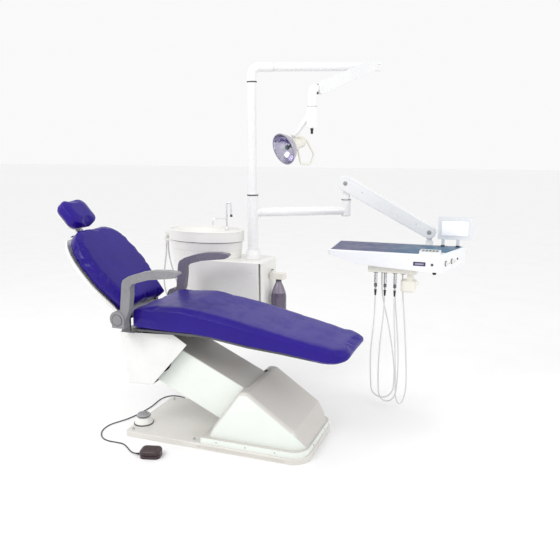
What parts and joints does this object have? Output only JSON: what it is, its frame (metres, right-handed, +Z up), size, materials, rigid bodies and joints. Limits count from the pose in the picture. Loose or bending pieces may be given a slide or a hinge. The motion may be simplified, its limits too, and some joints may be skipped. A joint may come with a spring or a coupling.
{
  "type": "dental chair",
  "caption": "Dental treatment chair with a lift arm, reclining back, side unit with cuspidor, operating light on a mast and a swinging instrument tray.",
  "frame": {"origin": "centre of the base plate's underside, on the floor", "axes": "+Z up, +X towards the patient's feet, +Y towards the side unit (the patient's left)"},
  "size_m": [2.1843, 1.3908, 2.012],
  "materials": {
    "base_paint": "satin",
    "frame_paint": "satin",
    "pin_steel": "satin",
    "rod_chrome": "polished",
    "cover_white": "satin",
    "arm_cover": "satin",
    "pan_grey": "matte",
    "pump_grey": "satin",
    "knob_grey": "satin",
    "vinyl_blue": "gloss",
    "armrest_grey": "satin",
    "unit_white": "gloss",
    "pipe_chrome": "polished",
    "mast_white": "gloss",
    "arm_white": "gloss",
    "bottle_tint": "gloss",
    "hose_grey": "satin",
    "lamp_cream": "satin",
    "reflector": "polished",
    "bulb_glass": "gloss",
    "tray_white": "gloss",
    "mat_blue": "satin",
    "handpiece_steel": "satin",
    "viewer_white": "satin",
    "cable_black": "satin",
    "pedal_dark": "matte"
  },
  "bodies": {
    "base": {"base_plate": "base_paint", "base_pins": "pin_steel", "base_cover": "cover_white", "pump_unit": "pump_grey", "lift_cylinder": "pump_grey", "foot_control": "unit_white", "foot_cable": "cable_black", "foot_pedal_base": "pedal_dark"},
    "rod": {"lift_rod": "rod_chrome"},
    "foot_knob": {"foot_knob": "knob_grey"},
    "foot_pedal": {"foot_pedal": "pedal_dark"},
    "lift_arm": {"lift_arm_beam": "frame_paint", "lift_arm_cover": "arm_cover"},
    "link": {"parallel_link": "frame_paint"},
    "upper_frame": {"seat_frame": "frame_paint", "frame_pins": "pin_steel", "seat_box_cover": "cover_white", "seat_pan": "pan_grey", "seat_cushion": "vinyl_blue", "unit_bracket": "frame_paint", "unit_box": "unit_white", "pole": "mast_white", "cuspidor_bowl": "unit_white", "rinse_pipe": "pipe_chrome", "bottle_bracket": "unit_white", "suction_holder": "unit_white", "suction_hose_1": "hose_grey", "suction_hose_2": "hose_grey"},
    "cup_filler": {"cup_filler": "pipe_chrome"},
    "bottle": {"bottle": "bottle_tint"},
    "backrest": {"backrest_cushion": "vinyl_blue", "backrest_shell": "cover_white", "backrest_frame": "frame_paint"},
    "headrest_slide": {"headrest_bar": "pin_steel"},
    "headrest": {"headrest_shell": "cover_white", "headrest_cushion": "vinyl_blue"},
    "armrest_near": {"armrest_near": "armrest_grey"},
    "armrest_far": {"armrest_far": "armrest_grey"},
    "lamp_arm": {"lamp_arm": "mast_white"},
    "lamp_knuckle": {"lamp_knuckle": "arm_white"},
    "lamp_spring_arm": {"lamp_spring_arm": "arm_white"},
    "lamp_drop": {"lamp_drop": "arm_white"},
    "lamp_yoke": {"lamp_yoke": "arm_white"},
    "lamp_head": {"lamp_housing": "lamp_cream", "lamp_reflector": "reflector", "lamp_bulb": "bulb_glass"},
    "tray_arm": {"tray_arm": "mast_white"},
    "tray_post": {"tray_post": "pin_steel"},
    "tray_spring_arm": {"tray_spring_arm": "arm_white"},
    "tray_carrier": {"tray_carrier": "arm_white"},
    "tray": {"tray_body": "tray_white", "tray_mat": "mat_blue", "film_viewer": "viewer_white", "handpiece_holder": "lamp_cream", "handpieces": "handpiece_steel", "hose_1": "hose_grey", "hose_2": "hose_grey", "hose_3": "hose_grey"},
    "tray_knob_1": {"tray_knob_1": "unit_white"},
    "tray_knob_2": {"tray_knob_2": "unit_white"}
  },
  "joints": [
    {"name": "arm_lift", "type": "hinge", "parent": "base", "child": "lift_arm", "pos_m": [0.22, 0, 0.154], "axis": [0, 1, 0], "range_deg": [-16, 5]},
    {"name": "link_turn", "type": "hinge", "parent": "base", "child": "link", "pos_m": [0.22, 0, 0.084], "axis": [0, 1, 0], "range_deg": [-16, 5]},
    {"name": "seat_level", "type": "hinge", "parent": "lift_arm", "child": "upper_frame", "pos_m": [-0.36004, 0, 0.42448], "axis": [0, 1, 0], "range_deg": [-5, 16]},
    {"name": "lift_stroke", "type": "slide", "parent": "base", "child": "rod", "axis": [-1, 0, 0], "range_m": [-0.023, 0.0075]},
    {"name": "recline", "type": "hinge", "parent": "upper_frame", "child": "backrest", "pos_m": [-0.485, 0, 0.664], "axis": [0, 1, 0], "range_deg": [-43, 17]},
    {"name": "headrest_height", "type": "slide", "parent": "backrest", "child": "headrest_slide", "axis": [-0.6691, 0, 0.7431], "range_m": [0, 0.09]},
    {"name": "headrest_tilt", "type": "hinge", "parent": "headrest_slide", "child": "headrest", "pos_m": [-0.97701, 0, 1.12525], "axis": [0, 1, 0], "range_deg": [-30, 6]},
    {"name": "armrest_near_fold", "type": "hinge", "parent": "upper_frame", "child": "armrest_near", "pos_m": [-0.485, -0.29, 0.664], "axis": [0, 1, 0], "range_deg": [-80, 0]},
    {"name": "armrest_far_fold", "type": "hinge", "parent": "upper_frame", "child": "armrest_far", "pos_m": [-0.485, 0.29, 0.664], "axis": [0, 1, 0], "range_deg": [-80, 0]},
    {"name": "cup_filler_swivel", "type": "hinge", "parent": "upper_frame", "child": "cup_filler", "pos_m": [-0.283, 0.6, 1.03], "axis": [0, 0, 1], "range_deg": [-60, 60]},
    {"name": "bottle_unscrew", "type": "hinge", "parent": "upper_frame", "child": "bottle", "pos_m": [0.066, 0.58, 0.76], "axis": [0, 0, 1], "continuous": true},
    {"name": "lamp_swing", "type": "hinge", "parent": "upper_frame", "child": "lamp_arm", "pos_m": [-0.1, 0.58, 1.9], "axis": [0, 0, 1], "range_deg": [-40, 30]},
    {"name": "lamp_swivel", "type": "hinge", "parent": "lamp_arm", "child": "lamp_knuckle", "pos_m": [0.585, 0.812, 1.984], "axis": [0, 0, 1], "range_deg": [-12, 60]},
    {"name": "lamp_tilt", "type": "hinge", "parent": "lamp_knuckle", "child": "lamp_spring_arm", "pos_m": [0.5713, 0.75358, 1.984], "axis": [-0.9736, 0.2284, 0], "range_deg": [-12, 25]},
    {"name": "lamp_level", "type": "hinge", "parent": "lamp_spring_arm", "child": "lamp_drop", "pos_m": [0.43216, 0.16036, 1.814], "axis": [-0.9736, 0.2284, 0], "range_deg": [-25, 12]},
    {"name": "lamp_yoke_turn", "type": "hinge", "parent": "lamp_drop", "child": "lamp_yoke", "pos_m": [0.418, 0.1, 1.66], "axis": [0, 0, 1], "range_deg": [-120, 120]},
    {"name": "lamp_head_tilt", "type": "hinge", "parent": "lamp_yoke", "child": "lamp_head", "pos_m": [0.30597, 0.13375, 1.59089], "axis": [0.848, -0.53, 0], "range_deg": [-30, 30]},
    {"name": "tray_swing", "type": "hinge", "parent": "upper_frame", "child": "tray_arm", "pos_m": [-0.1, 0.58, 1.145], "axis": [0, 0, 1], "range_deg": [-8, 45]},
    {"name": "tray_post_turn", "type": "hinge", "parent": "tray_arm", "child": "tray_post", "pos_m": [0.395, 0.9, 1.2], "axis": [0, 0, 1], "range_deg": [-10, 60]},
    {"name": "tray_tilt", "type": "hinge", "parent": "tray_post", "child": "tray_spring_arm", "pos_m": [0.395, 0.9, 1.312], "axis": [0, -1, 0], "range_deg": [-9, 25]},
    {"name": "tray_level", "type": "hinge", "parent": "tray_spring_arm", "child": "tray_carrier", "pos_m": [0.915, 0.9, 1.032], "axis": [0, -1, 0], "range_deg": [-25, 9]},
    {"name": "tray_turn", "type": "hinge", "parent": "tray_carrier", "child": "tray", "pos_m": [0.915, 0.9, 0.92], "axis": [0, 0, 1], "range_deg": [-10, 45]},
    {"name": "tray_knob_1_turn", "type": "hinge", "parent": "tray", "child": "tray_knob_1", "pos_m": [1.05143, 0.54978, 0.908], "axis": [0.9642, -0.265, 0], "range_deg": [0, 270]},
    {"name": "tray_knob_2_turn", "type": "hinge", "parent": "tray", "child": "tray_knob_2", "pos_m": [1.07475, 0.63463, 0.908], "axis": [0.9642, -0.265, 0], "range_deg": [0, 270]},
    {"name": "foot_knob_tilt", "type": "hinge", "parent": "base", "child": "foot_knob", "pos_m": [-0.47, -0.135, 0.054], "axis": [0, 1, 0], "range_deg": [-6, 6], "stiffness_Nm_per_rad": 2.5},
    {"name": "pedal_press", "type": "slide", "parent": "base", "child": "foot_pedal", "axis": [0, 0, -1], "range_m": [0, 0.003], "stiffness_N_per_m": 2000, "springref_m": -0.003}
  ],
  "couplings": [
    {"joint": "link_turn", "follows": "arm_lift", "ratio": 1},
    {"joint": "seat_level", "follows": "arm_lift", "ratio": -1},
    {"joint": "lift_stroke", "follows": "arm_lift", "m_per_rad": 0.078},
    {"joint": "lamp_level", "follows": "lamp_tilt", "ratio": -1},
    {"joint": "tray_level", "follows": "tray_tilt", "ratio": -1}
  ]
}
